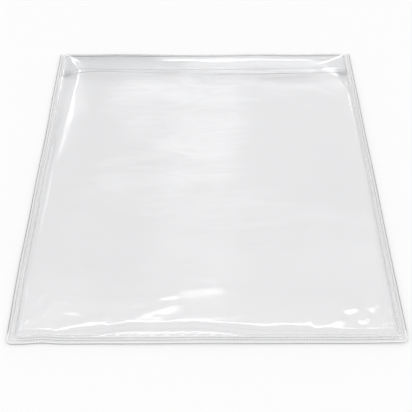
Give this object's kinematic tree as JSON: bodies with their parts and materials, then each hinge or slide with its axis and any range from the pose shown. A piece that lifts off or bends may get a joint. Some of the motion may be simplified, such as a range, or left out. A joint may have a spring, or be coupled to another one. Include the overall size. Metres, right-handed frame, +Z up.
{
  "type": "record sleeve",
  "caption": "Clear flexible film outer sleeve for a long-playing record, lying flat, with knurled welded edges, a puffed front sheet and a fold-over flap that closes the mouth.",
  "frame": {"origin": "under the middle of the sleeve's box, on the plane that the back sheet lies on", "axes": "+X right across the sleeve, +Y from the bottom weld towards the mouth and the fold, +Z up out of the front sheet"},
  "size_m": [0.332, 0.332, 0.0084],
  "materials": {
    "film": "clear soft film, glossy",
    "weld": "clear film fused and knurled",
    "bead": "clear film, smooth rounded edge",
    "flap_film": "clear soft film, glossy"
  },
  "bodies": {
    "pocket": {"back_sheet": "film", "front_sheet": "film", "left_weld": "weld", "right_weld": "weld", "bottom_weld": "weld", "left_bead": "bead", "right_bead": "bead", "bottom_bead": "bead"},
    "flap": {"flap_fold": "flap_film", "flap_sheet": "flap_film"}
  },
  "joints": [
    {"name": "flap_fold_hinge", "type": "hinge", "parent": "pocket", "child": "flap", "pos_m": [0, 0.1648, 0.0012], "axis": [-1, 0, 0], "range_deg": [0, 155]}
  ]
}
